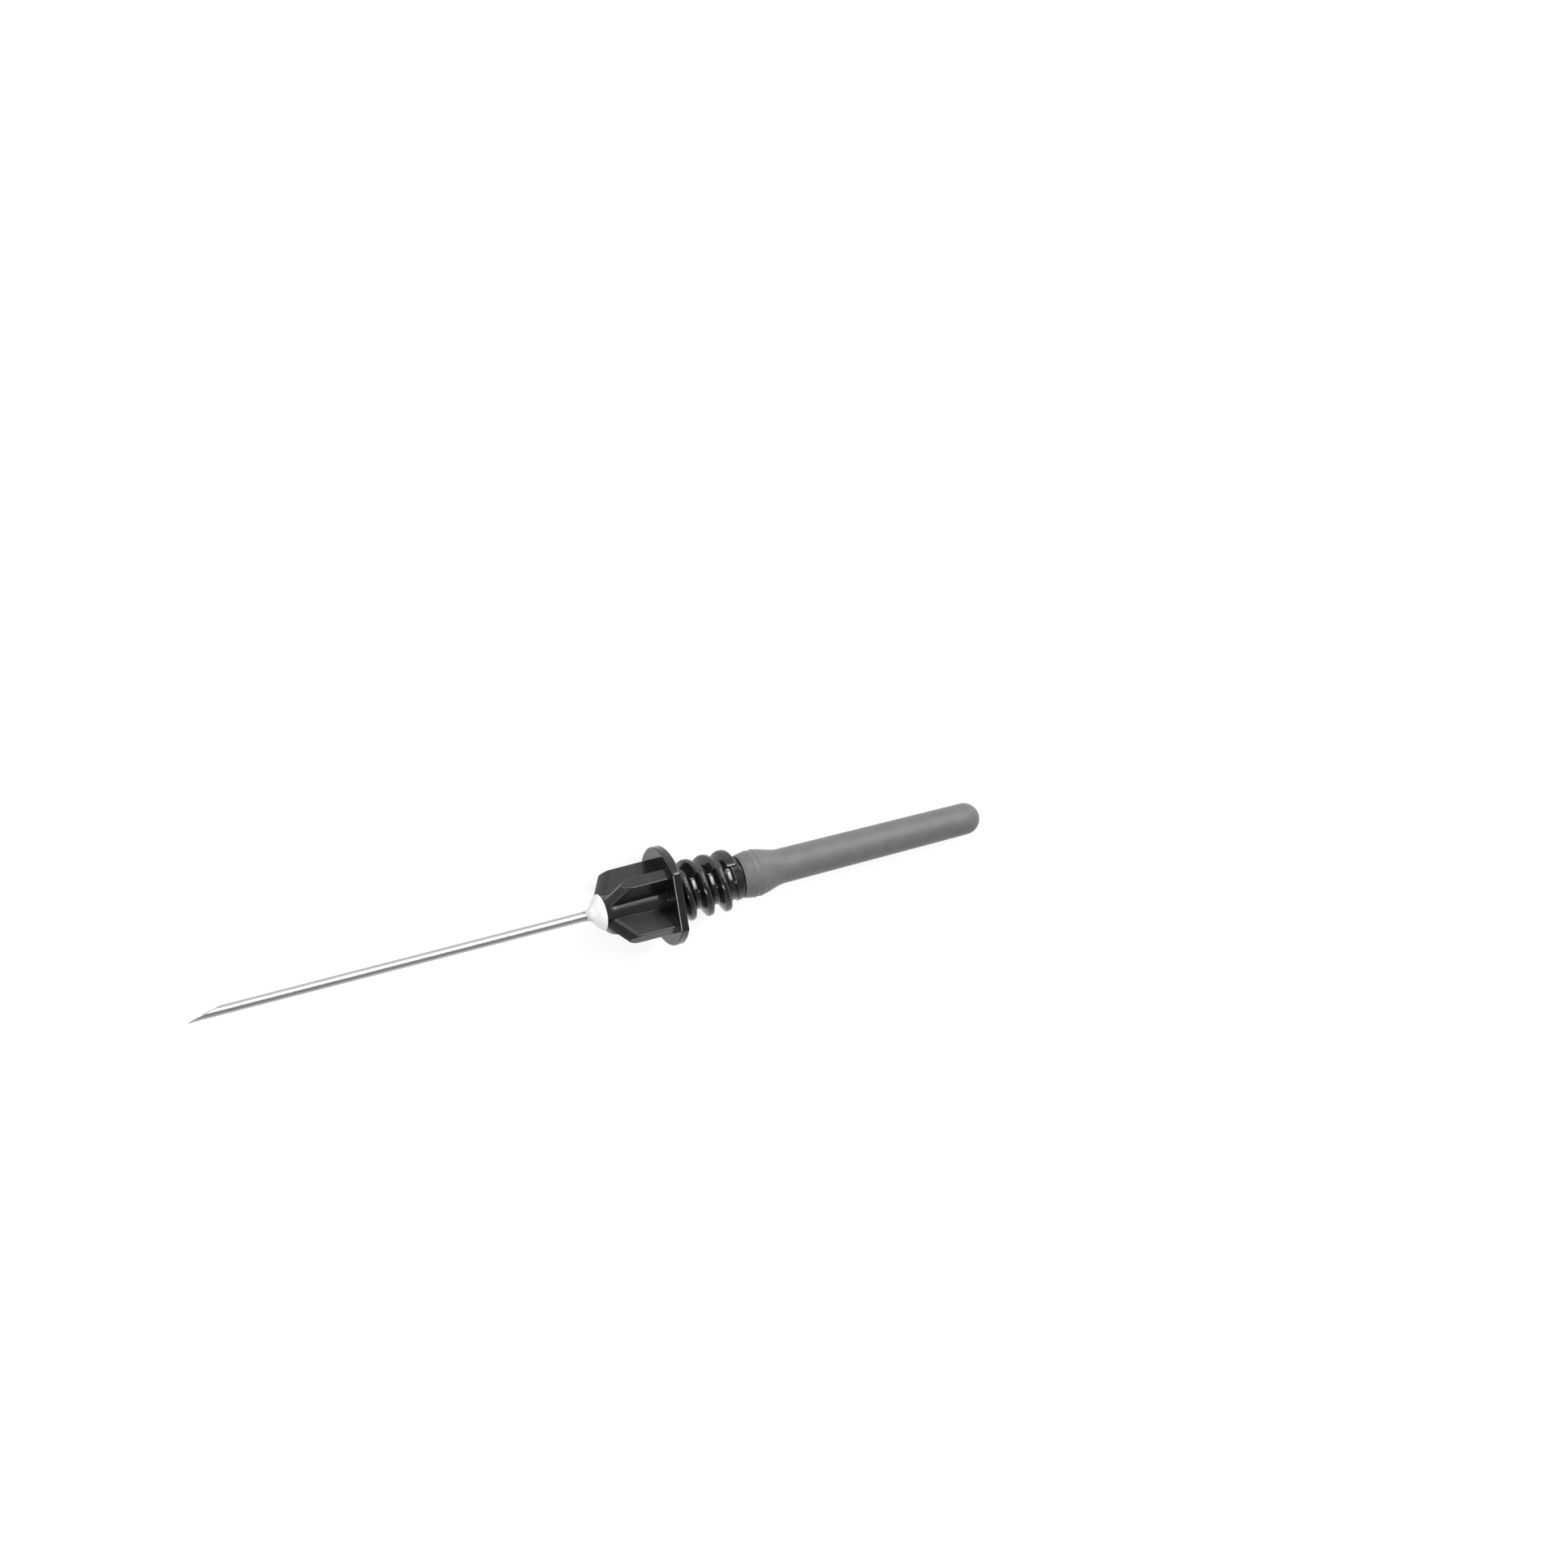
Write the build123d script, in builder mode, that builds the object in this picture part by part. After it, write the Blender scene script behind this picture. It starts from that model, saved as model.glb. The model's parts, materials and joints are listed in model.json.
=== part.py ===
from build123d import *
import os
from math import asin, atan2, cos, degrees, hypot, radians, sin, tan

# Double-ended blood collection needle: a steel cannula glued through a one-piece
# moulded hub, with a rubber sleeve closing its rear point. It lies as it comes to
# rest, on one flat of the flange and on the end of the sleeve. Millimetres, +Z up.
# Distances along the needle are measured back from the front face of the flange,
# so they are negative towards the point that enters the vein.

# Cannula
CANNULA_OD = 0.72
CANNULA_BORE = 0.41
EXPOSED_LENGTH = 31.75
POINT_ANGLE = -75
BEVEL_LENGTH = 2.95
LANCET_SLOPE = 19.0
LANCET_ROLL = 38.0
REAR_REACH = 23.0
REAR_BEVEL_LENGTH = 2.2

# Adhesive bead that fills the well in the nose of the hub
BEAD_LENGTH = 1.1
BEAD_SHOULDER = 0.46
BEAD_FOOT = 0.015
BEAD_BULGE = 0.14
WELL_RADIUS = 0.85
WELL_DEPTH = 1.6

# Nose of the hub
NOSE_LENGTH = 4.85
CORE_RADIUS = 1.29
WAIST_RADIUS = 1.2
LIP_RADIUS = 1.35
LIP_LENGTH = 0.85
BORE_CLEARANCE = 0.02

# Four fins that guide the front cap
FIN_REACH = 3.02
FIN_THICKNESS = 0.93
FIN_ANGLES = (-135, -45, 45, 135)
FIN_RAKE = 57.0
FIN_POINT_LENGTH = 0.92
FIN_EDGE_RADIUS = 0.08

# Flange with two flats
FLANGE_RADIUS = 3.68
FLANGE_THICKNESS = 0.65
ACROSS_FLATS = 5.96
FLANGE_EDGE_RADIUS = 0.1
RIM_EDGE = 0.08

# Coarse thread, moulded in two halves that meet on the parting plane
THREAD_PITCH = 1.41
THREAD_ROOT_RADIUS = 1.54
THREAD_CREST_RADIUS = 2.24
THREAD_CREST_WIDTH = 0.4
THREAD_FLANK_ANGLE = 24.0
THREAD_CREST_EDGE = 0.08
THREAD_LEAN = 0.45
THREAD_SEAT = 0.8
PARTING_ANGLE = 45
UPPER_RIDGE_START = 0.695
UPPER_RIDGES = 4
LOWER_RIDGE_START = 1.685
LOWER_RIDGES = 4
RUN_OUT_RADIUS = 1.76
RUN_OUT_END_RADIUS = 1.62
FADE_RADIUS = 2.07
FADE_OFFSET = 0.45
FADE_ANGLE = 165
SHANK_LENGTH = 5.4
SHANK_EDGE = 0.15

# Barbed nipple that holds the sleeve
NIPPLE_NECK_RADIUS = 1.12
BARB_RADIUS = 1.28
BARB_POSITION = 7.2
BARB_LAND = 0.25
NIPPLE_END_RADIUS = 0.86
NIPPLE_LENGTH = 2.75

# Rubber sleeve
SLEEVE_GAP = 0.04
SLEEVE_FIT = 0.03
BELL_MOUTH_RADIUS = 1.55
BELL_RADIUS = 1.71
BELL_FLARE = 0.35
SLEEVE_NECK_POSITION = 9.5
SLEEVE_NECK_RADIUS = 1.27
SLEEVE_TIP_RADIUS = 1.15
SLEEVE_END = 25.2
SLEEVE_BORE_RADIUS = 0.68
SLEEVE_TIP_WALL = 1.1


# Places along the needle that follow from the dimensions
nose_front = -NOSE_LENGTH
bead_front = nose_front - BEAD_LENGTH
cannula_tip = bead_front - EXPOSED_LENGTH
well_end = nose_front + WELL_DEPTH
shank_end = FLANGE_THICKNESS + SHANK_LENGTH
nipple_end = shank_end + NIPPLE_LENGTH
sleeve_mouth = shank_end + SLEEVE_GAP
dome_centre = SLEEVE_END - SLEEVE_TIP_RADIUS
cannula_radius = CANNULA_OD / 2
flat_reach = ACROSS_FLATS / 2

# Resting pose. The rear edge of the lower flat and the dome of the sleeve both touch
# the ground, which fixes how far the needle leans and how high its axis lies.
edge_x = FLANGE_THICKNESS - FLANGE_EDGE_RADIUS
edge_reach = flat_reach - FLANGE_EDGE_RADIUS
span = dome_centre - edge_x
reach_difference = FLANGE_EDGE_RADIUS - SLEEVE_TIP_RADIUS
lean = asin(reach_difference / hypot(span, edge_reach)) + atan2(edge_reach, span)
axis_height = SLEEVE_TIP_RADIUS + dome_centre * sin(lean)

# The origin is below the middle of the whole needle, on the ground
tip_drop = cannula_radius * cos(radians(POINT_ANGLE))
front_x = cannula_tip * cos(lean) + tip_drop * sin(lean)
rear_x = dome_centre * cos(lean) + SLEEVE_TIP_RADIUS
middle_x = (front_x + rear_x) / 2
along = Vector(cos(lean), 0, -sin(lean))
upward = Vector(sin(lean), 0, cos(lean))
sideways = Vector(0, 1, 0)
flange_centre = Vector(-middle_x, 0, axis_height)
needle_axis = Axis(flange_centre, along)


def on_axis(x):
    """Point on the needle's axis at a distance behind the flange's front face."""
    return flange_centre + along * x


def outward(angle):
    """Direction out from the axis, turned from up towards +Y by an angle in degrees."""
    return upward * cos(radians(angle)) + sideways * sin(radians(angle))


def meridian(angle):
    """Plane through the axis: X runs along the needle, Y points out at the angle."""
    return Plane(origin=flange_centre, x_dir=along, z_dir=along.cross(outward(angle)))


def point_cuts(tip_x, towards, length):
    """Three ground planes of a needle point: the long bevel and two lancet facets."""
    tip = on_axis(tip_x) + outward(POINT_ANGLE) * cannula_radius
    cuts = [Plane(origin=tip, z_dir=towards * CANNULA_OD - outward(POINT_ANGLE) * length)]
    for roll in (-LANCET_ROLL, LANCET_ROLL):
        slope = radians(LANCET_SLOPE)
        facing = towards * sin(slope) - outward(POINT_ANGLE + roll) * cos(slope)
        cuts.append(Plane(origin=tip, z_dir=facing))
    return cuts


def fin(angle):
    """One fin: a plate whose leading edge is raked and comes to a rounded point."""
    rake = radians(FIN_RAKE)
    rake_run = (FIN_REACH - LIP_RADIUS) / tan(rake)
    edge_dir = along * cos(rake) + outward(angle) * sin(rake)
    foot_x = nose_front - LIP_RADIUS / tan(rake)
    half = FIN_THICKNESS / 2
    plan = Plane(origin=on_axis(foot_x), x_dir=along, z_dir=outward(angle))
    point_radius = (FIN_POINT_LENGTH ** 2 + half ** 2) / FIN_THICKNESS
    sweep_angle = degrees(asin(FIN_POINT_LENGTH / point_radius))
    past_flange = NOSE_LENGTH + LIP_RADIUS + FLANGE_THICKNESS
    past_reach = (FIN_REACH + LIP_RADIUS) / sin(rake)
    with BuildPart() as blade:
        with BuildSketch(plan):
            with BuildLine():
                upper = CenterArc((FIN_POINT_LENGTH, half - point_radius), point_radius, 90, sweep_angle)
                lower = CenterArc((FIN_POINT_LENGTH, point_radius - half), point_radius, -90, -sweep_angle)
                Polyline(upper @ 0, (past_flange, half), (past_flange, -half), lower @ 0)
            make_face()
        extrude(amount=past_reach, dir=edge_dir)
        with BuildSketch(meridian(angle)):
            with BuildLine():
                Polyline(
                    (nose_front, 0),
                    (nose_front, LIP_RADIUS),
                    (nose_front + rake_run, FIN_REACH),
                    (FLANGE_THICKNESS / 2, FIN_REACH),
                    (FLANGE_THICKNESS / 2, 0),
                    close=True,
                )
            make_face()
        extrude(amount=FIN_THICKNESS, both=True, mode=Mode.INTERSECT)
        outer_edges = blade.faces().sort_by(Axis(flange_centre, outward(angle)))[-1].edges()
        fillet(outer_edges.sort_by(needle_axis)[:-1], FIN_EDGE_RADIUS)
    return blade.part


def ridge(x, side):
    """Half a turn of thread: a leaning half ring that ends on the parting plane.

    side is 1 for the mould half above the parting plane and -1 for the one below.
    """
    ridge_lean = atan2(THREAD_LEAN, THREAD_CREST_RADIUS) * side
    parting = outward(PARTING_ANGLE)
    own_axis = along * cos(ridge_lean) - parting * sin(ridge_lean)
    own_radius = along * sin(ridge_lean) + parting * cos(ridge_lean)
    frame = Plane(origin=on_axis(x), x_dir=own_axis, z_dir=own_axis.cross(own_radius))
    base = THREAD_ROOT_RADIUS * THREAD_SEAT
    half_crest = THREAD_CREST_WIDTH / 2
    half_base = half_crest + (THREAD_CREST_RADIUS - base) * tan(radians(THREAD_FLANK_ANGLE))
    with BuildPart() as half_turn:
        with BuildSketch(frame) as profile:
            with BuildLine():
                Polyline(
                    (-half_base, base),
                    (-half_crest, THREAD_CREST_RADIUS),
                    (half_crest, THREAD_CREST_RADIUS),
                    (half_base, base),
                    close=True,
                )
            make_face()
            chamfer(profile.vertices().group_by(Axis.Y)[-1], THREAD_CREST_EDGE)
        revolve(axis=Axis(frame.origin, frame.x_dir * -side), revolution_arc=180)
    return half_turn.part


with BuildPart() as cannula:
    with BuildSketch(meridian(0)):
        with Locations(((cannula_tip + REAR_REACH) / 2, (cannula_radius + CANNULA_BORE / 2) / 2)):
            Rectangle(REAR_REACH - cannula_tip, cannula_radius - CANNULA_BORE / 2)
    revolve(axis=needle_axis)
    for cut in point_cuts(cannula_tip, -along, BEVEL_LENGTH):
        split(bisect_by=cut, keep=Keep.BOTTOM)
    for cut in point_cuts(REAR_REACH, along, REAR_BEVEL_LENGTH):
        split(bisect_by=cut, keep=Keep.BOTTOM)

fins = [fin(angle) for angle in FIN_ANGLES]
upper_ridges = [ridge(UPPER_RIDGE_START + turn * THREAD_PITCH, 1) for turn in range(UPPER_RIDGES)]
lower_ridges = [ridge(LOWER_RIDGE_START + turn * THREAD_PITCH, -1) for turn in range(LOWER_RIDGES)]

# The last upper ridge is turned off centre, so that it fades towards the parting plane
with BuildPart() as fading_ridge:
    add(upper_ridges.pop())
    off_centre = flange_centre + outward(FADE_ANGLE) * FADE_OFFSET
    with BuildSketch(Plane(origin=off_centre, z_dir=along)):
        Circle(FADE_RADIUS)
    extrude(amount=shank_end + THREAD_PITCH, mode=Mode.INTERSECT)

# Beside the sleeve the last ridge is cut down to a low land and ends with the shank
with BuildPart() as run_out:
    add(lower_ridges.pop())
    with BuildSketch(meridian(0)):
        with BuildLine():
            Polyline(
                (shank_end - THREAD_PITCH, 0),
                (shank_end - THREAD_PITCH, RUN_OUT_RADIUS),
                (shank_end - SHANK_EDGE, RUN_OUT_END_RADIUS),
                (shank_end, RUN_OUT_END_RADIUS - SHANK_EDGE),
                (shank_end, 0),
                close=True,
            )
        make_face()
    revolve(axis=needle_axis, mode=Mode.INTERSECT)

with BuildPart() as hub:
    with BuildSketch(meridian(0)) as rim:
        with Locations((FLANGE_THICKNESS / 2, FLANGE_RADIUS / 2)):
            Rectangle(FLANGE_THICKNESS, FLANGE_RADIUS)
        chamfer(rim.vertices().group_by(Axis.Y)[-1], RIM_EDGE)
    revolve(axis=needle_axis)
    with BuildSketch(meridian(0)) as flats:
        with Locations((FLANGE_THICKNESS / 2, 0)):
            Rectangle(FLANGE_THICKNESS, ACROSS_FLATS)
        fillet(flats.vertices(), FLANGE_EDGE_RADIUS)
    extrude(amount=FLANGE_RADIUS, both=True, mode=Mode.INTERSECT)
    with BuildSketch(meridian(0)):
        with BuildLine():
            lip = (nose_front, LIP_RADIUS)
            waist = (nose_front + LIP_LENGTH, WAIST_RADIUS)
            core_end = (FLANGE_THICKNESS / 2, CORE_RADIUS)
            towards_waist = (waist[0] - core_end[0], WAIST_RADIUS - CORE_RADIUS)
            TangentArc(waist, lip, tangent=towards_waist)
            Polyline(
                waist,
                core_end,
                (FLANGE_THICKNESS / 2, THREAD_ROOT_RADIUS),
                (shank_end - SHANK_EDGE, THREAD_ROOT_RADIUS),
                (shank_end, THREAD_ROOT_RADIUS - SHANK_EDGE),
                (shank_end, NIPPLE_NECK_RADIUS),
                (BARB_POSITION - BARB_LAND, NIPPLE_NECK_RADIUS),
                (BARB_POSITION, BARB_RADIUS),
                (BARB_POSITION + BARB_LAND, BARB_RADIUS),
                (nipple_end, NIPPLE_END_RADIUS),
                (nipple_end, 0),
                (nose_front, 0),
                lip,
            )
        make_face()
    revolve(axis=needle_axis)
    add(fins)
    add(upper_ridges)
    add(lower_ridges)
    add(fading_ridge.part)
    add(run_out.part)
    with BuildSketch(meridian(0)):
        with BuildLine():
            Polyline(
                (nose_front, 0),
                (nose_front, WELL_RADIUS),
                (well_end, cannula_radius + BORE_CLEARANCE),
                (nipple_end, cannula_radius + BORE_CLEARANCE),
                (nipple_end, 0),
                close=True,
            )
        make_face()
    revolve(axis=needle_axis, mode=Mode.SUBTRACT)

with BuildPart() as adhesive:
    with BuildSketch(meridian(0)):
        with BuildLine():
            rim = (nose_front, LIP_RADIUS)
            shoulder = (nose_front - BEAD_SHOULDER, (LIP_RADIUS + cannula_radius) / 2 + BEAD_BULGE)
            foot = (bead_front, cannula_radius + BEAD_FOOT)
            leaving_rim = (-BEAD_SHOULDER, cannula_radius + BEAD_BULGE - LIP_RADIUS)
            along_cannula = (-BEAD_LENGTH, -BEAD_SHOULDER / 4)
            Spline(rim, shoulder, foot, tangents=(leaving_rim, along_cannula))
            Polyline(
                foot,
                (bead_front, cannula_radius),
                (well_end, cannula_radius),
                (well_end, cannula_radius + BORE_CLEARANCE),
                (nose_front, WELL_RADIUS),
                rim,
            )
        make_face()
    revolve(axis=needle_axis)

with BuildPart() as rubber_sleeve:
    with BuildSketch(meridian(0)):
        with BuildLine():
            mouth = (sleeve_mouth, BELL_MOUTH_RADIUS)
            crown = (BARB_POSITION + BARB_LAND / 2, BELL_RADIUS)
            neck = (SLEEVE_NECK_POSITION, SLEEVE_NECK_RADIUS)
            dome_edge = (dome_centre, SLEEVE_TIP_RADIUS)
            bore_end = SLEEVE_END - SLEEVE_TIP_WALL
            fit_end = nipple_end + SLEEVE_FIT
            straight = (1, 0)
            Spline(mouth, crown, tangents=((1, BELL_FLARE), straight))
            Spline(crown, neck, tangents=(straight, straight))
            Line(neck, dome_edge)
            RadiusArc(dome_edge, (SLEEVE_END, 0), SLEEVE_TIP_RADIUS)
            Line((SLEEVE_END, 0), (bore_end, 0))
            RadiusArc((bore_end, 0), (bore_end - SLEEVE_BORE_RADIUS, SLEEVE_BORE_RADIUS), -SLEEVE_BORE_RADIUS)
            Polyline(
                (bore_end - SLEEVE_BORE_RADIUS, SLEEVE_BORE_RADIUS),
                (fit_end, SLEEVE_BORE_RADIUS),
                (fit_end, NIPPLE_END_RADIUS + SLEEVE_FIT),
                (BARB_POSITION + BARB_LAND, BARB_RADIUS + SLEEVE_FIT),
                (BARB_POSITION, BARB_RADIUS + SLEEVE_FIT),
                (BARB_POSITION - BARB_LAND, NIPPLE_NECK_RADIUS + SLEEVE_FIT),
                (sleeve_mouth, NIPPLE_NECK_RADIUS + SLEEVE_FIT),
                mouth,
            )
        make_face()
    revolve(axis=needle_axis)

cannula.part.label = "cannula"
hub.part.label = "hub"
adhesive.part.label = "adhesive"
rubber_sleeve.part.label = "rubber_sleeve"

os.makedirs("parts", exist_ok=True)
export_step(cannula.part, "parts/cannula.step")
export_step(hub.part, "parts/hub.step")
export_step(adhesive.part, "parts/adhesive.step")
export_step(rubber_sleeve.part, "parts/rubber_sleeve.step")
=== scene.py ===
import json
from math import cos, exp, pi, radians, sin, tan

import bmesh
import bpy
from mathutils import Matrix, Vector


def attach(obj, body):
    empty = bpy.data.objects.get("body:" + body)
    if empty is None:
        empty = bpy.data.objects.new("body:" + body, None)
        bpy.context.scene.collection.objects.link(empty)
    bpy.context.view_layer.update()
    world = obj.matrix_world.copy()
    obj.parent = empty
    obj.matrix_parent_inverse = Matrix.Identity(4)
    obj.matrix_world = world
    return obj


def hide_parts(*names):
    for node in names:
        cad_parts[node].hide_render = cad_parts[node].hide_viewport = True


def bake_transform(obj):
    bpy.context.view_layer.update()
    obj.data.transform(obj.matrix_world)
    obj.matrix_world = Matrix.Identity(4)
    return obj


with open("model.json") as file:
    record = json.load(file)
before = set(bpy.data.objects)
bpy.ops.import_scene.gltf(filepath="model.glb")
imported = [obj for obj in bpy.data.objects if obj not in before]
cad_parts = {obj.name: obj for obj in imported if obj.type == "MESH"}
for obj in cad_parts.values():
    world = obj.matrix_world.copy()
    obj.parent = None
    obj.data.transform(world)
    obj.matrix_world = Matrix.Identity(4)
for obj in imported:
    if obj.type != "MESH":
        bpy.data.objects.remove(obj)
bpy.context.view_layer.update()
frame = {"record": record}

# Sizes of the needle in millimetres, as in the CAD model. Distances along the needle
# are measured back from the front face of the flange, so they are negative in front.
FLANGE_THICKNESS = 0.65
CANNULA_RADIUS = 0.36
LUMEN_RADIUS = 0.205
POINT_ANGLE = radians(-75)
BEVEL_LENGTH = 2.95
REAR_BEVEL_LENGTH = 2.2
LANCET_SLOPE = radians(19)
LANCET_ROLL = radians(38)
BEAD_LENGTH = 1.1
# Distance in front of the hub, radius, and how the radius changes with that distance
BEAD_PROFILE = (
    (0.0, 1.35, -0.5),
    (0.21, 1.2, -0.9),
    (0.4, 1.0, -1.2),
    (0.62, 0.71, -1.25),
    (0.83, 0.5, -0.7),
    (1.02, 0.405, -0.25),
    (1.2, 0.366, -0.15),
)
WELL_RADIUS = 0.85
BORE_CLEARANCE = 0.02
SHANK_LENGTH = 5.4
NIPPLE_NECK_RADIUS = 1.12
BARB_RADIUS = 1.28
BARB_POSITION = 7.2
BARB_LAND = 0.25
NIPPLE_END_RADIUS = 0.86
NIPPLE_LENGTH = 2.75
SLEEVE_FIT = 0.03
BELL_MOUTH_RADIUS = 1.55
BELL_RADIUS = 1.71
BELL_FLARE = 0.35
SLEEVE_NECK_POSITION = 9.5
SLEEVE_NECK_RADIUS = 1.27
SLEEVE_TIP_RADIUS = 1.15
SLEEVE_BORE_RADIUS = 0.68
SLEEVE_TIP_WALL = 1.1
BARB_PRINT_HEIGHT = 0.034
BARB_PRINT_WIDTH = 0.09
MM = 0.001

# The photograph: where the middle of the flange's front face lies in it, its scale
# there, and how the needle is turned towards the camera
PHOTO_SIZE = 1932
FLANGE_PIXEL = (815.1, 1104.8)
PIXELS_PER_METRE = 17030
CAMERA_DISTANCE = 3.0
SENSOR_WIDTH = 36.0
TIP_TOWARDS_CAMERA = radians(20)
RISE_TO_THE_RIGHT = radians(14.4)
SIDE_FACING_CAMERA = radians(15)

# The studio: the floor's side in metres and its colour, and the light's strengths, where
# 1 shows as white
FLOOR_SIZE = 6.0
FLOOR_COLOUR = 0.4
FLOOR_GLOW = 0.72
HORIZON_GLOW = 1.0
OVERHEAD_GLOW = 0.4
SHADED_SIDE_LIGHT = 0.2
LIT_SIDE_LIGHT = 1.1
# Name, angles round the needle and towards the sleeve in degrees, distance, size round
# the needle and along it, radiance, and roll in degrees
SOFTBOXES = (
    ("strip", 22, 21.5, 0.5, (0.466, 0.056), 16, 10),
    ("side", 30, 1, 0.6, (0.45, 0.08), 2.2, 0),
    ("front", -34, -40, 0.5, (0.09, 0.25), 16, 0),
    ("top", 66, 50, 0.6, (0.34, 0.35), 4.5, 0),
)

# The needle's own axes, from the mounts of the frame
mounts = {mount["name"]: mount for mount in frame["record"]["mounts"]}
along = Vector(mounts["holder_thread"]["axis"]).normalized()
sideways = Vector((0, 1, 0))
upward = along.cross(sideways)
axis_point = Vector(mounts["holder_thread"]["pos_m"])
seat_point = Vector(mounts["holder_seat"]["pos_m"])
flange_rear = axis_point + along * (seat_point - axis_point).dot(along)
flange_front = flange_rear - along * FLANGE_THICKNESS * MM
needle_turn = Matrix((along, sideways, upward)).transposed().to_4x4()
needle_frame = Matrix.Translation(flange_front) @ needle_turn @ Matrix.Scale(MM, 4)


def outward(angle):
    """Direction out from the axis, turned from up towards +Y."""
    return upward * cos(angle) + sideways * sin(angle)


def seen_from(angle, lengthwise):
    """Direction at an angle round the needle from the camera's side of it, turned
    towards the sleeve by the angle lengthwise."""
    side = outward(SIDE_FACING_CAMERA + angle)
    return side * cos(lengthwise) + along * sin(lengthwise)


def reach(node):
    """How far a CAD node goes along the needle, front and rear, in millimetres."""
    corners = bpy.data.objects[node].data.vertices
    places = [(corner.co - flange_front).dot(along) / MM for corner in corners]
    return min(places), max(places)


nose_front = reach("adhesive")[0] + BEAD_LENGTH
cannula_tip, cannula_end = reach("cannula")
well_end = reach("adhesive")[1]
sleeve_mouth, sleeve_end = reach("rubber_sleeve")
nipple_end = FLANGE_THICKNESS + SHANK_LENGTH + NIPPLE_LENGTH
dome_centre = sleeve_end - SLEEVE_TIP_RADIUS


def new_piece(name, bm, material, sharp=radians(35)):
    """Object from a bmesh made in needle millimetres, placed in the row's frame."""
    bmesh.ops.recalc_face_normals(bm, faces=bm.faces)
    mesh = bpy.data.meshes.new(name)
    bm.to_mesh(mesh)
    bm.free()
    mesh.transform(needle_frame)
    mesh.shade_smooth()
    mesh.set_sharp_from_angle(angle=sharp)
    piece = bpy.data.objects.new(name, mesh)
    bpy.context.scene.collection.objects.link(piece)
    mesh.materials.append(material)
    return piece


def lathe(outline, segments):
    """Closed bmesh of revolution from an outline, a closed loop of (x, radius) points."""
    bm = bmesh.new()
    turns = [2 * pi * k / segments for k in range(segments)]
    rings = []
    for x, radius in outline:
        if radius == 0:
            places = [(x, 0, 0)]
        else:
            places = [(x, radius * sin(turn), radius * cos(turn)) for turn in turns]
        rings.append([bm.verts.new(place) for place in places])
    for ring, following in zip(rings, rings[1:] + rings[:1]):
        for k in range(segments):
            corners = [ring[k % len(ring)], ring[(k + 1) % len(ring)]]
            corners.append(following[(k + 1) % len(following)])
            corners.append(following[k % len(following)])
            corners = list(dict.fromkeys(corners))
            if len(corners) > 2:
                bm.faces.new(corners)
    return bm


def hermite(start, end, start_slope, end_slope, steps):
    """Smooth curve of (x, radius) points from start to end, without the last point."""
    run = end[0] - start[0]
    points = []
    for k in range(steps):
        t = k / steps
        rise = start[1] * (2 * t**3 - 3 * t**2 + 1) + end[1] * (3 * t**2 - 2 * t**3)
        rise += run * (start_slope * (t**3 - 2 * t**2 + t) + end_slope * (t**3 - t**2))
        points.append((start[0] + run * t, rise))
    return points


def straight(start, end, steps):
    """Evenly spaced (x, radius) points from start to end, without the last point."""
    run, rise = end[0] - start[0], end[1] - start[1]
    return [(start[0] + run * k / steps, start[1] + rise * k / steps) for k in range(steps)]


def arc(centre_x, radius, first, last, steps):
    """(x, radius) points on a circle round a point of the axis, without the last."""
    angles = [first + (last - first) * k / steps for k in range(steps)]
    return [(centre_x + radius * cos(a), radius * sin(a)) for a in angles]


def ground_point(radius, angle, length):
    """How far behind the tip the tube is ground away to, at a place on its section."""
    up_the_bevel = CANNULA_RADIUS - radius * cos(angle - POINT_ANGLE)
    back = [0.0, up_the_bevel * length / (2 * CANNULA_RADIUS)]
    for roll in (-LANCET_ROLL, LANCET_ROLL):
        height = CANNULA_RADIUS * cos(roll) - radius * cos(angle - POINT_ANGLE - roll)
        back.append(height / tan(LANCET_SLOPE))
    return max(back)


# Materials


def material(name):
    """A new node material, with its node tree and its Principled shader."""
    made = bpy.data.materials.new(name)
    made.use_nodes = True
    return made, made.node_tree, made.node_tree.nodes["Principled BSDF"]


def needle_coordinates(tree, stretch=(1, 1, 1)):
    """Texture coordinates in millimetres along the needle's own axes."""
    place = tree.nodes.new("ShaderNodeTexCoord")
    turn = tree.nodes.new("ShaderNodeMapping")
    turn.vector_type = "TEXTURE"
    turn.inputs["Location"].default_value = flange_front
    rotation = needle_frame.to_3x3().normalized().to_euler()
    turn.inputs["Rotation"].default_value = rotation
    turn.inputs["Scale"].default_value = (MM, MM, MM)
    spread = tree.nodes.new("ShaderNodeVectorMath")
    spread.operation = "MULTIPLY"
    spread.inputs[1].default_value = stretch
    tree.links.new(place.outputs["Object"], turn.inputs["Vector"])
    tree.links.new(turn.outputs["Vector"], spread.inputs[0])
    return spread.outputs["Vector"]


def part_of(tree, vector, axis):
    """The X, Y or Z part of a vector."""
    parts = tree.nodes.new("ShaderNodeSeparateXYZ")
    tree.links.new(vector, parts.inputs["Vector"])
    return parts.outputs[axis]


def calculated(tree, operation, *numbers):
    """What a Math node makes of the numbers."""
    node = tree.nodes.new("ShaderNodeMath")
    node.operation = operation
    for number, socket in zip(numbers, node.inputs):
        tree.links.new(number, socket)
    return node.outputs["Value"]


def tinted(tree, amount, colour, tint):
    """The colour, replaced by a plain tint as far as the amount goes from 0 to 1."""
    node = tree.nodes.new("ShaderNodeMixRGB")
    node.inputs["Color2"].default_value = (*tint, 1)
    tree.links.new(amount, node.inputs["Fac"])
    tree.links.new(colour, node.inputs["Color1"])
    return node.outputs["Color"]


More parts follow.
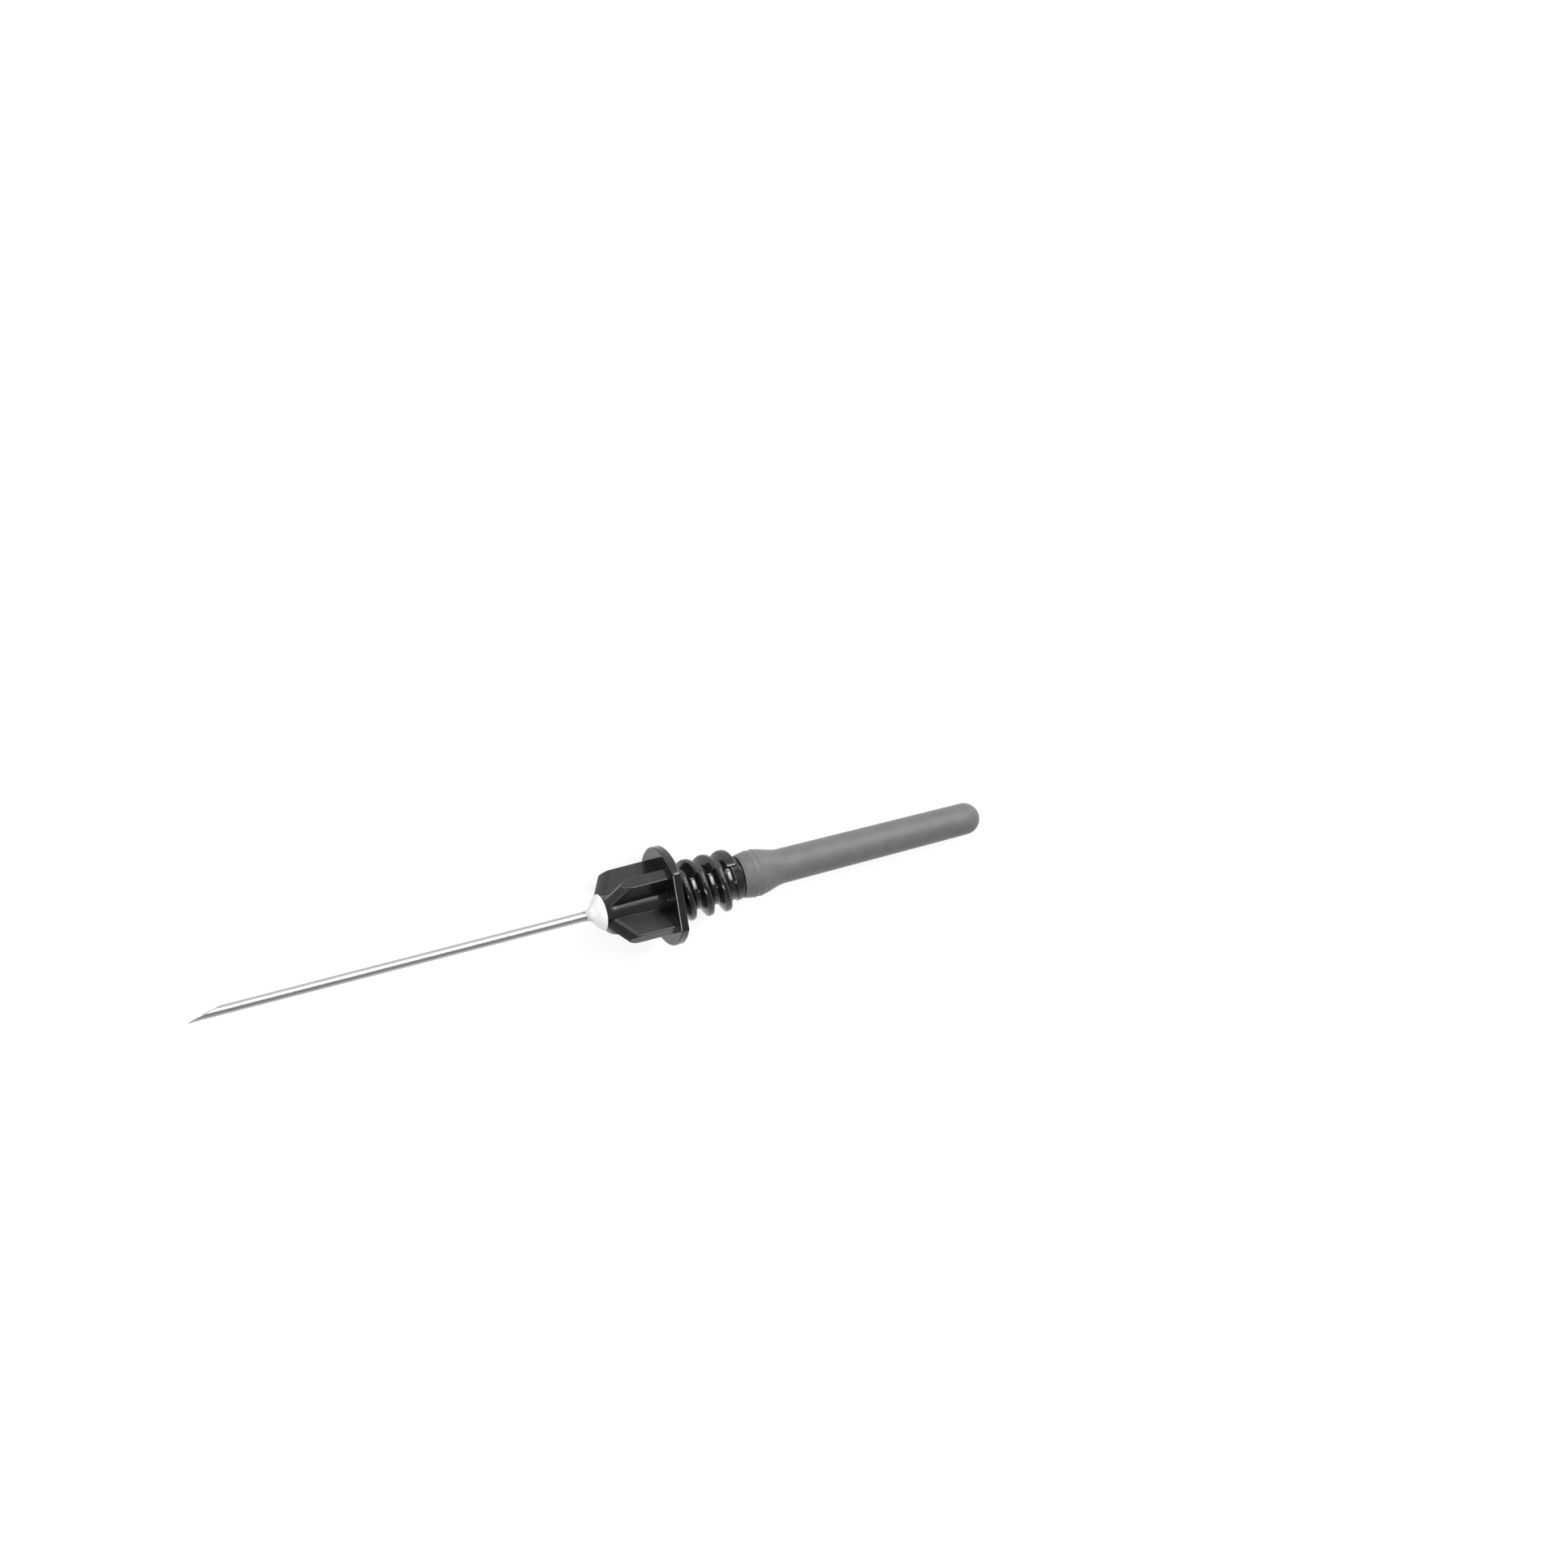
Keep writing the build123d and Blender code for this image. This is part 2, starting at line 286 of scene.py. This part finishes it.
def noise(tree, vector, scale, detail=2.0, roughness=0.5):
    """Noise value from 0 to 1, about scale ups and downs to the millimetre."""
    node = tree.nodes.new("ShaderNodeTexNoise")
    node.inputs["Scale"].default_value = scale
    node.inputs["Detail"].default_value = detail
    node.inputs["Roughness"].default_value = roughness
    tree.links.new(vector, node.inputs["Vector"])
    return node.outputs["Fac"]


def between(tree, factor, low, high, start=0.3, stop=0.7):
    """A number that goes from low to high as the factor goes from start to stop."""
    node = tree.nodes.new("ShaderNodeMapRange")
    node.inputs["From Min"].default_value = start
    node.inputs["From Max"].default_value = stop
    node.inputs["To Min"].default_value = low
    node.inputs["To Max"].default_value = high
    tree.links.new(factor, node.inputs["Value"])
    return node.outputs["Result"]


def shades(tree, factor, dark, light, start=0.3, stop=0.7):
    """A colour that goes from dark to light as the factor goes from start to stop."""
    node = tree.nodes.new("ShaderNodeValToRGB")
    node.color_ramp.elements[0].position = start
    node.color_ramp.elements[0].color = (*dark, 1)
    node.color_ramp.elements[1].position = stop
    node.color_ramp.elements[1].color = (*light, 1)
    tree.links.new(factor, node.inputs["Fac"])
    return node.outputs["Color"]


def bump(tree, height, depth_mm, shader, normal=None):
    """Raises the surface by a height from 0 to 1, over a depth in millimetres."""
    node = tree.nodes.new("ShaderNodeBump")
    node.inputs["Strength"].default_value = 1.0
    node.inputs["Distance"].default_value = depth_mm * MM
    tree.links.new(height, node.inputs["Height"])
    if normal:
        tree.links.new(normal, node.inputs["Normal"])
    tree.links.new(node.outputs["Normal"], shader.inputs["Normal"])


def polished_steel():
    """Drawn stainless tube: fine scratches along it, and painted shade on the faces turned
    along it, the ground point and the tube's ends.
    """
    made, tree, shader = material("polished_steel")
    scratches = noise(tree, needle_coordinates(tree, (0.35, 14, 14)), 3.0, 4.0, 0.6)
    drawn = shades(tree, scratches, (0.37, 0.374, 0.38), (0.44, 0.445, 0.45))
    facing = tree.nodes.new("ShaderNodeNewGeometry")
    endwise = tree.nodes.new("ShaderNodeVectorMath")
    endwise.operation = "DOT_PRODUCT"
    endwise.inputs[1].default_value = along
    tree.links.new(facing.outputs["Normal"], endwise.inputs[0])
    either_end = calculated(tree, "ABSOLUTE", endwise.outputs["Value"])
    # Painted shade: faces turned along the tube, the ground point and the ends, are
    # darkened in colour towards a flat grey
    painted_facet_shade = between(tree, either_end, 0.0, 1.0, 0.1, 0.2)
    colour = tinted(tree, painted_facet_shade, drawn, (0.16, 0.16, 0.165))
    tree.links.new(colour, shader.inputs["Base Color"])
    tree.links.new(between(tree, scratches, 0.28, 0.36), shader.inputs["Roughness"])
    shader.inputs["Metallic"].default_value = 1.0
    bump(tree, scratches, 0.0006, shader)
    return made


def black_plastic():
    """Glossy moulded plastic with a faint orange peel, more satin in front of the
    flange. Its edges are shaded as rounded, widely on the thread and barely on the
    fins."""
    made, tree, shader = material("black_plastic")
    place = needle_coordinates(tree)
    patches = noise(tree, place, 0.9, 3.0)
    peel = noise(tree, place, 9.0, 2.0)
    colour = shades(tree, patches, (0.005, 0.005, 0.0055), (0.008, 0.008, 0.0085))
    tree.links.new(colour, shader.inputs["Base Color"])
    shader.inputs["IOR"].default_value = 1.57
    along_needle = part_of(tree, place, "X")
    satin = between(tree, along_needle, 0.24, 0.12, -0.2, 0.0)
    patchy = between(tree, patches, -0.02, 0.03)
    tree.links.new(calculated(tree, "ADD", satin, patchy), shader.inputs["Roughness"])
    edges = tree.nodes.new("ShaderNodeBevel")
    edges.samples = 12
    rounding = between(tree, along_needle, 0.02 * MM, 0.17 * MM, -0.05, 0.2)
    tree.links.new(rounding, edges.inputs["Radius"])
    bump(tree, peel, 0.0004, shader, edges.outputs["Normal"])
    return made


def white_adhesive():
    """Cured opaque adhesive: smooth, greyer where it thins out."""
    made, tree, shader = material("white_adhesive")
    place = needle_coordinates(tree)
    clouds = noise(tree, place, 2.2, 3.0)
    body = shades(tree, clouds, (0.9, 0.9, 0.89), (0.94, 0.94, 0.93))
    foot = (nose_front - 1.05, nose_front - 0.7)
    thin = between(tree, part_of(tree, place, "X"), 1.0, 0.0, *foot)
    colour = tinted(tree, thin, body, (0.55, 0.55, 0.55))
    tree.links.new(colour, shader.inputs["Base Color"])
    shader.inputs["Roughness"].default_value = 0.3
    bump(tree, clouds, 0.006, shader)
    return made


def grey_rubber():
    """Matt rubber with a powdery skin: fine grain and soft mottling."""
    made, tree, shader = material("grey_rubber")
    place = needle_coordinates(tree)
    mottling = noise(tree, place, 1.1, 3.0)
    grain = noise(tree, place, 22.0, 3.0, 0.6)
    colour = shades(tree, mottling, (0.13, 0.13, 0.13), (0.156, 0.156, 0.156))
    tree.links.new(colour, shader.inputs["Base Color"])
    tree.links.new(between(tree, grain, 0.38, 0.48), shader.inputs["Roughness"])
    shader.inputs["Specular IOR Level"].default_value = 0.4
    shader.inputs["Sheen Weight"].default_value = 0.05
    shader.inputs["Sheen Roughness"].default_value = 0.5
    bump(tree, grain, 0.004, shader)
    return made


# Pieces


def steel_cannula(finish):
    """The tube, ground to a lancet point at both ends."""
    segments, wall_steps = 128, 5
    bm = bmesh.new()
    thickness = CANNULA_RADIUS - LUMEN_RADIUS
    radii = [CANNULA_RADIUS - thickness * k / wall_steps for k in range(wall_steps)]
    radii.append(LUMEN_RADIUS)
    ends = ((cannula_tip, 1, BEVEL_LENGTH), (cannula_end, -1, REAR_BEVEL_LENGTH))
    rings = []
    for (tip, towards, length), order in zip(ends, (radii[::-1], radii)):
        for radius in order:
            ring = []
            for k in range(segments):
                angle = 2 * pi * k / segments
                x = tip + towards * ground_point(radius, angle, length)
                ring.append(bm.verts.new((x, radius * sin(angle), radius * cos(angle))))
            rings.append(ring)
    for ring, following in zip(rings, rings[1:] + rings[:1]):
        for k in range(segments):
            after = (k + 1) % segments
            bm.faces.new((ring[k], ring[after], following[after], following[k]))
    return new_piece("steel_cannula", bm, finish, radians(20))


def adhesive_bead(finish):
    """The bead round the foot of the cannula, with the plug in the hub's well."""
    knots = [(nose_front - depth, radius) for depth, radius, _ in BEAD_PROFILE]
    slopes = [-slope for _, _, slope in BEAD_PROFILE]
    outline = []
    for start, end, start_slope, end_slope in zip(knots, knots[1:], slopes, slopes[1:]):
        outline += hermite(start, end, start_slope, end_slope, 6)
    outline += [knots[-1], (knots[-1][0], CANNULA_RADIUS)]
    outline += [(well_end, CANNULA_RADIUS), (well_end, CANNULA_RADIUS + BORE_CLEARANCE)]
    outline += [(nose_front, WELL_RADIUS)]
    return new_piece("adhesive_bead", lathe(outline, 96), finish)


def barb_print(x):
    """How far the edges of the barb press the rubber out, in millimetres."""
    total = 0
    for edge in (BARB_POSITION - BARB_LAND, BARB_POSITION + BARB_LAND):
        total += BARB_PRINT_HEIGHT * exp(-(((x - edge) / BARB_PRINT_WIDTH) ** 2))
    return total


def sleeve_skin(finish):
    """The rubber sleeve: a bell over the barb, then a tapering tube with a dome."""
    mouth = (sleeve_mouth, BELL_MOUTH_RADIUS)
    crown = (BARB_POSITION + BARB_LAND / 2, BELL_RADIUS)
    neck = (SLEEVE_NECK_POSITION, SLEEVE_NECK_RADIUS)
    dome_edge = (dome_centre, SLEEVE_TIP_RADIUS)
    bore_dome_centre = sleeve_end - SLEEVE_TIP_WALL - SLEEVE_BORE_RADIUS
    bore_start = (nipple_end + SLEEVE_FIT, SLEEVE_BORE_RADIUS)
    bell = hermite(mouth, crown, BELL_FLARE, 0, 30) + hermite(crown, neck, 0, 0, 50)
    outline = [(x, radius + barb_print(x)) for x, radius in bell]
    outline += straight(neck, dome_edge, 60)
    outline += arc(dome_centre, SLEEVE_TIP_RADIUS, pi / 2, 0, 18)
    outline += [(sleeve_end, 0)]
    outline += [(bore_dome_centre + SLEEVE_BORE_RADIUS, 0)]
    outline += arc(bore_dome_centre, SLEEVE_BORE_RADIUS, 0, pi / 2, 8)[1:]
    outline += straight((bore_dome_centre, SLEEVE_BORE_RADIUS), bore_start, 50)
    outline += [
        bore_start,
        (bore_start[0], NIPPLE_END_RADIUS + SLEEVE_FIT),
        (BARB_POSITION + BARB_LAND, BARB_RADIUS + SLEEVE_FIT),
        (BARB_POSITION, BARB_RADIUS + SLEEVE_FIT),
        (BARB_POSITION - BARB_LAND, NIPPLE_NECK_RADIUS + SLEEVE_FIT),
        (sleeve_mouth, NIPPLE_NECK_RADIUS + SLEEVE_FIT),
    ]
    return new_piece("sleeve_skin", lathe(outline, 128), finish)


cannula = steel_cannula(polished_steel())
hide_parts("cannula")
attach(cannula, "needle")

bead = adhesive_bead(white_adhesive())
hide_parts("adhesive")
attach(bead, "needle")

sleeve = sleeve_skin(grey_rubber())
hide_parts("rubber_sleeve")
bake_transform(sleeve)

hub = bpy.data.objects["hub"]
for material_slot in hub.material_slots:
    material_slot.material = black_plastic()


# Studio


def add_camera():
    """The camera at the photograph's place, with the flange on its pixel."""
    facing = outward(SIDE_FACING_CAMERA)
    above = outward(SIDE_FACING_CAMERA + pi / 2)
    back = facing * cos(TIP_TOWARDS_CAMERA) - along * sin(TIP_TOWARDS_CAMERA)
    run = along * cos(TIP_TOWARDS_CAMERA) + facing * sin(TIP_TOWARDS_CAMERA)
    right = run * cos(RISE_TO_THE_RIGHT) - above * sin(RISE_TO_THE_RIGHT)
    up = run * sin(RISE_TO_THE_RIGHT) + above * cos(RISE_TO_THE_RIGHT)
    flange_right = (FLANGE_PIXEL[0] - PHOTO_SIZE / 2) / PIXELS_PER_METRE
    flange_down = (FLANGE_PIXEL[1] - PHOTO_SIZE / 2) / PIXELS_PER_METRE
    aim = flange_front - right * flange_right + up * flange_down
    data = bpy.data.cameras.new("camera")
    data.sensor_width = SENSOR_WIDTH
    data.lens = SENSOR_WIDTH * CAMERA_DISTANCE * PIXELS_PER_METRE / PHOTO_SIZE
    data.clip_start = 0.1
    data.clip_end = 20
    camera = bpy.data.objects.new("camera", data)
    camera.matrix_world = Matrix.Translation(aim + back * CAMERA_DISTANCE) @ (
        Matrix((right, up, back)).transposed().to_4x4()
    )
    bpy.context.scene.collection.objects.link(camera)
    bpy.context.scene.camera = camera


def add_softbox(name, angle, lengthwise, distance, size, radiance, roll):
    """A lamp that faces the flange. Its first size runs round the needle, the second
    along it."""
    back = seen_from(angle, lengthwise)
    right = outward(SIDE_FACING_CAMERA + angle + pi / 2).normalized()
    up = back.cross(right)
    data = bpy.data.lights.new(name, "AREA")
    data.shape = "RECTANGLE"
    data.size, data.size_y = size
    data.energy = radiance * pi * size[0] * size[1]
    lamp = bpy.data.objects.new(name, data)
    turn = Matrix((right, up, back)).transposed().to_4x4()
    turn = turn @ Matrix.Rotation(roll, 4, "Z")
    lamp.matrix_world = Matrix.Translation(flange_front + back * distance) @ turn
    bpy.context.scene.collection.objects.link(lamp)


def seen_rays(tree):
    """1 for camera, glossy and transmission rays, otherwise 0."""
    rays = tree.nodes.new("ShaderNodeLightPath")
    total = rays.outputs["Is Camera Ray"]
    for kind in ("Is Glossy Ray", "Is Transmission Ray"):
        total = calculated(tree, "MAXIMUM", total, rays.outputs[kind])
    return total


def add_floor():
    """A pale floor that looks white where it is lit and keeps the needle's shadow."""
    bm = bmesh.new()
    bmesh.ops.create_grid(bm, x_segments=1, y_segments=1, size=FLOOR_SIZE / 2)
    mesh = bpy.data.meshes.new("floor")
    bm.to_mesh(mesh)
    bm.free()
    floor = bpy.data.objects.new("floor", mesh)
    bpy.context.scene.collection.objects.link(floor)
    made, tree, shader = material("floor_paper")
    shader.inputs["Base Color"].default_value = (FLOOR_COLOUR,) * 3 + (1,)
    shader.inputs["Roughness"].default_value = 0.9
    shader.inputs["Specular IOR Level"].default_value = 0.1
    shader.inputs["Emission Color"].default_value = (1, 1, 1, 1)
    glow = between(tree, seen_rays(tree), 0.0, FLOOR_GLOW, 0.0, 1.0)
    tree.links.new(glow, shader.inputs["Emission Strength"])
    mesh.materials.append(made)


def light_world():
    """Light from all round, most of it from +Y, that shows as white round the horizon
    and grey overhead."""
    world = bpy.data.worlds.new("studio")
    world.use_nodes = True
    tree = world.node_tree
    direction = tree.nodes.new("ShaderNodeTexCoord").outputs["Generated"]
    sky = tree.nodes["Background"]
    sky.inputs["Color"].default_value = (1, 1, 1, 1)
    height, side = (part_of(tree, direction, axis) for axis in "ZY")
    shown = between(tree, height, HORIZON_GLOW, OVERHEAD_GLOW, 0.3, 0.55)
    ambient = between(tree, side, SHADED_SIDE_LIGHT, LIT_SIDE_LIGHT, 0.0, 0.8)
    strength = tree.nodes.new("ShaderNodeMapRange")
    tree.links.new(ambient, strength.inputs["To Min"])
    tree.links.new(shown, strength.inputs["To Max"])
    tree.links.new(seen_rays(tree), strength.inputs["Value"])
    tree.links.new(strength.outputs["Result"], sky.inputs["Strength"])
    bpy.context.scene.world = world


add_camera()
add_floor()
light_world()
for name, angle, lengthwise, distance, size, radiance, roll in SOFTBOXES:
    angles = radians(angle), radians(lengthwise)
    add_softbox(name, *angles, distance, size, radiance, radians(roll))

bpy.context.scene.view_settings.view_transform = "Standard"
